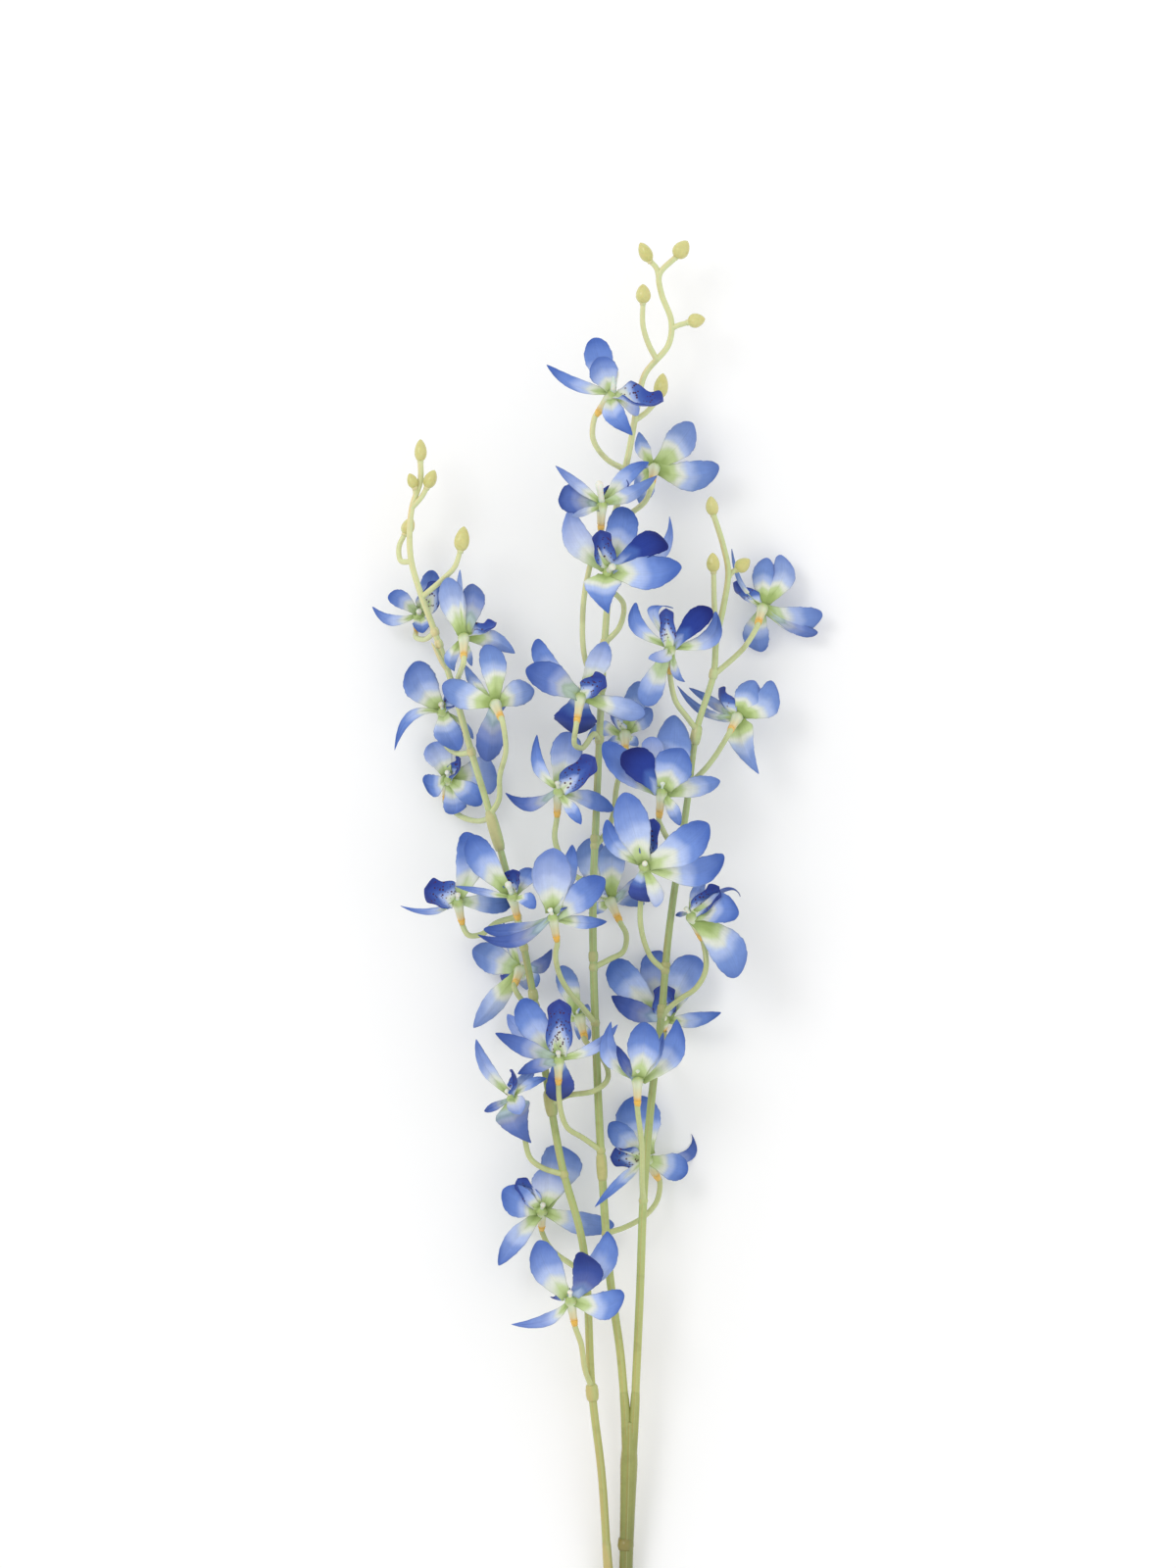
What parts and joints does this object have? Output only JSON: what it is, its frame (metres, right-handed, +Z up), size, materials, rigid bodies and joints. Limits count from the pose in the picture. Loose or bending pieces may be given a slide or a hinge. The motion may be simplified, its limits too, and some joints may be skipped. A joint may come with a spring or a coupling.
{
  "type": "dendrobium orchid stem",
  "caption": "Cut stem of blue dendrobium orchids: long branches of five-petalled fabric blooms and closed buds on one stem, lying on its lowest petals.",
  "frame": {"origin": "on the surface that the stem lies on, under the middle of its bounding box", "axes": "+Y runs along the stem from the cut end to the buds, +Z points up from the surface, +X to the right seen from above"},
  "size_m": [0.2304, 0.7812, 0.0801],
  "materials": {
    "stem_plastic": "semi-gloss olive green",
    "branch_plastic": "semi-gloss yellow-green",
    "petal_fabric": "woven, green and cream at the root, deep blue at the tips"
  },
  "bodies": {
    "root": {"main_stem": "stem_plastic", "branch_centre": "branch_plastic", "branch_right": "branch_plastic", "branch_left": "branch_plastic", "bloom_c01": "petal_fabric", "bloom_c02": "petal_fabric", "bloom_c03": "petal_fabric", "bloom_c04": "petal_fabric", "bloom_c05": "petal_fabric", "bloom_c06": "petal_fabric", "bloom_c07": "petal_fabric", "bloom_c08": "petal_fabric", "bloom_c09": "petal_fabric", "bloom_c10": "petal_fabric", "bloom_c11": "petal_fabric", "bloom_c13": "petal_fabric", "bloom_r01": "petal_fabric", "bloom_r02": "petal_fabric", "bloom_r03": "petal_fabric", "bloom_r04": "petal_fabric", "bloom_r05": "petal_fabric", "bloom_r06": "petal_fabric", "bloom_r07": "petal_fabric", "bloom_r08": "petal_fabric", "bloom_l01": "petal_fabric", "bloom_l02": "petal_fabric", "bloom_l03": "petal_fabric", "bloom_l04": "petal_fabric", "bloom_l05": "petal_fabric", "bloom_l06": "petal_fabric", "bloom_l07": "petal_fabric", "bloom_l08": "petal_fabric", "bloom_l09": "petal_fabric", "bloom_l10": "petal_fabric", "bloom_l11": "petal_fabric"}
  },
  "joints": []
}
